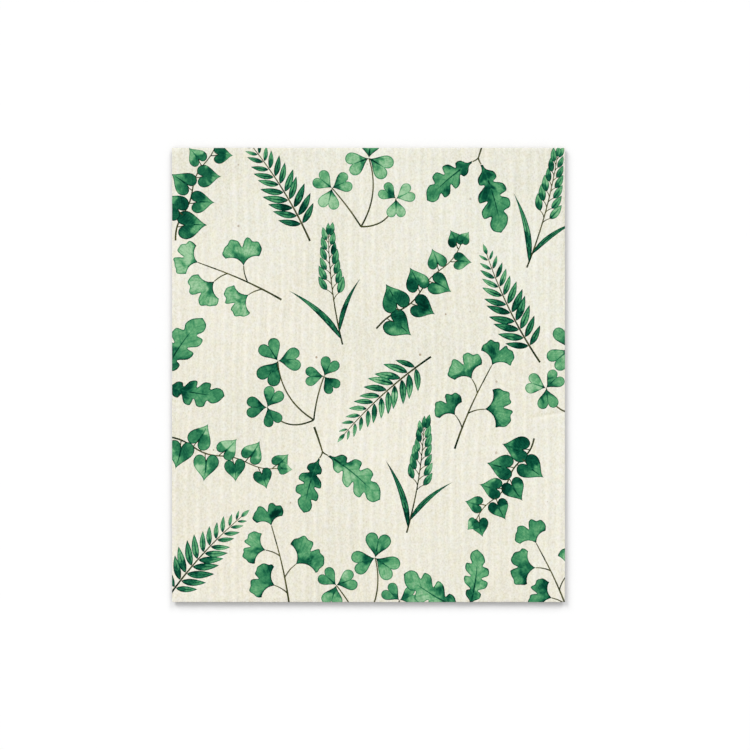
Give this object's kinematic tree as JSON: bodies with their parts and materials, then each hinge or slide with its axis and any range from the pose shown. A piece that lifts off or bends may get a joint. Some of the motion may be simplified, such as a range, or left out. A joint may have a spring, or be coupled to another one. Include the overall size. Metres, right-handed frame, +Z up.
{
  "type": "sponge cloth",
  "caption": "Flat rectangular kitchen wiping cloth of absorbent cellulose sponge, with a fine ribbed face and a printed leaf pattern.",
  "frame": {"origin": "middle of the plain underside, on the surface that the cloth lies on", "axes": "+Y along the ribs and the long side, +X across the ribs, +Z up out of the printed, ribbed face"},
  "size_m": [0.173, 0.2, 0.0018],
  "materials": {
    "sponge": "matt cream cellulose sponge with a fine fibrous grain, printed in greens on the ribbed face"
  },
  "bodies": {
    "root": {"sponge_cloth": "sponge"}
  },
  "joints": []
}
